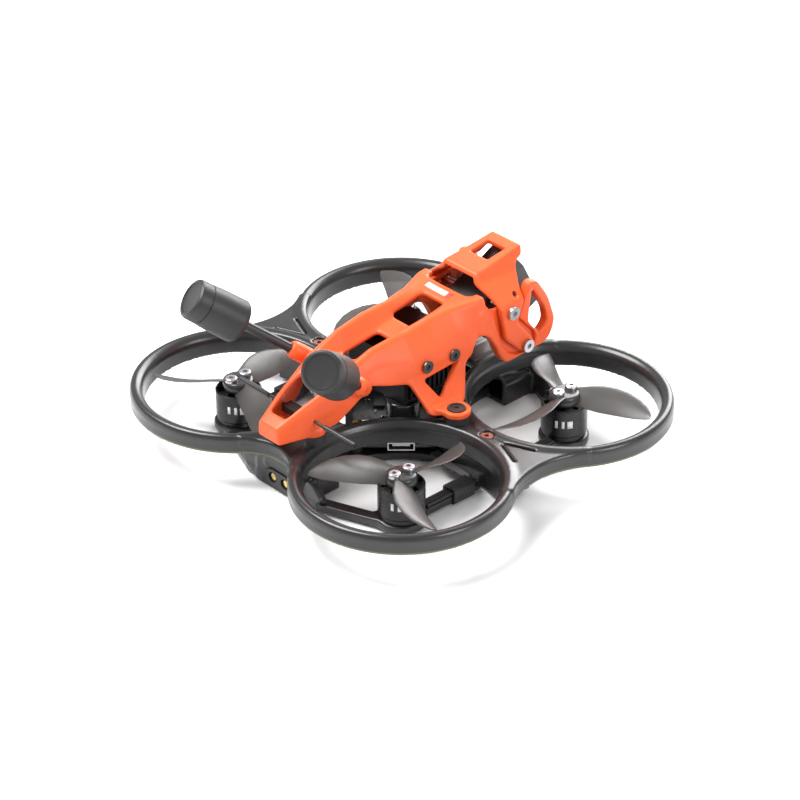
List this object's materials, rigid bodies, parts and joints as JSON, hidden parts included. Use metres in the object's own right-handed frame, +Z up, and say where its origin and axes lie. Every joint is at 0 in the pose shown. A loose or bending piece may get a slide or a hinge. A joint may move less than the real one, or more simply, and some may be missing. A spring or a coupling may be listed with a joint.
{
  "type": "fpv racing drone",
  "caption": "Small ducted racing drone: ringed propellers on a black moulded frame, orange canopy with a tilting camera bracket and twin aerials.",
  "frame": {"origin": "under the centre of the four motors, on the surface that the drone stands on", "axes": "+Y forward to the camera, +X to the drone's right, +Z up"},
  "size_m": [0.1264, 0.1208, 0.0564],
  "materials": {
    "frame_plastic": "moulded, satin",
    "sleeve_rubber": "matt",
    "lead_insulation": "soft silicone",
    "screw_steel": "bright",
    "motor_black": "anodised black",
    "winding_copper": "enamelled copper",
    "magnet": "nickel plated",
    "board": "solder mask",
    "socket_shell": "plated",
    "heat_sink": "anodised black",
    "capacitor_sleeve": "shrink sleeve",
    "connector_plastic": "moulded",
    "gold": "gold plated",
    "canopy_plastic": "moulded, fine texture",
    "camera_plastic": "satin",
    "lens_glass": "coated",
    "propeller_plastic": "smoke translucent",
    "aerial_tube": "satin",
    "aerial_shell": "fine matt texture"
  },
  "bodies": {
    "airframe": {"top_deck": "frame_plastic", "side_junctions": "frame_plastic", "bottom_plate": "frame_plastic", "front_bay": "frame_plastic", "rear_bay": "frame_plastic", "motor_pads": "frame_plastic", "lateral_arms": "frame_plastic", "side_arms": "frame_plastic", "arm_sleeves": "sleeve_rubber", "motor_leads": "lead_insulation", "deck_screws": "screw_steel", "motor_screws": "screw_steel", "motor_bases": "motor_black", "stators": "winding_copper", "bearings": "screw_steel", "flight_controller": "board", "usb_socket": "socket_shell", "board_grommets": "sleeve_rubber", "board_screws": "screw_steel", "video_transmitter": "heat_sink", "capacitor": "capacitor_sleeve", "power_connector": "connector_plastic", "power_pins": "gold", "internal_leads": "lead_insulation", "canopy": "canopy_plastic", "canopy_posts": "sleeve_rubber", "canopy_screws": "screw_steel", "side_screws": "screw_steel", "aerial_rods": "aerial_tube", "aerial_pods": "aerial_shell", "receiver_aerial": "aerial_tube", "duct_front_left": "frame_plastic", "duct_front_right": "frame_plastic", "duct_rear_left": "frame_plastic", "duct_rear_right": "frame_plastic"},
    "rotor_front_left": {"bell_front_left": "motor_black", "magnets_front_left": "magnet", "shaft_front_left": "screw_steel", "propeller_front_left": "propeller_plastic", "prop_screws_front_left": "screw_steel"},
    "rotor_front_right": {"bell_front_right": "motor_black", "magnets_front_right": "magnet", "shaft_front_right": "screw_steel", "propeller_front_right": "propeller_plastic", "prop_screws_front_right": "screw_steel"},
    "rotor_rear_left": {"bell_rear_left": "motor_black", "magnets_rear_left": "magnet", "shaft_rear_left": "screw_steel", "propeller_rear_left": "propeller_plastic", "prop_screws_rear_left": "screw_steel"},
    "rotor_rear_right": {"bell_rear_right": "motor_black", "magnets_rear_right": "magnet", "shaft_rear_right": "screw_steel", "propeller_rear_right": "propeller_plastic", "prop_screws_rear_right": "screw_steel"},
    "camera_carriage": {"camera_bracket": "canopy_plastic", "camera_body": "camera_plastic", "lens_barrel": "camera_plastic", "lens_glass": "lens_glass", "camera_screws": "screw_steel"}
  },
  "joints": [
    {"name": "spin_front_left", "type": "hinge", "parent": "airframe", "child": "rotor_front_left", "pos_m": [-0.03316, 0.03042, 0.008], "axis": [0, 0, 1], "continuous": true},
    {"name": "spin_front_right", "type": "hinge", "parent": "airframe", "child": "rotor_front_right", "pos_m": [0.03316, 0.03042, 0.008], "axis": [0, 0, 1], "continuous": true},
    {"name": "spin_rear_left", "type": "hinge", "parent": "airframe", "child": "rotor_rear_left", "pos_m": [-0.03316, -0.03042, 0.008], "axis": [0, 0, 1], "continuous": true},
    {"name": "spin_rear_right", "type": "hinge", "parent": "airframe", "child": "rotor_rear_right", "pos_m": [0.03316, -0.03042, 0.008], "axis": [0, 0, 1], "continuous": true},
    {"name": "camera_tilt", "type": "hinge", "parent": "airframe", "child": "camera_carriage", "pos_m": [0, 0.0337, 0.0216], "axis": [1, 0, 0], "range_deg": [-2, 4]}
  ]
}
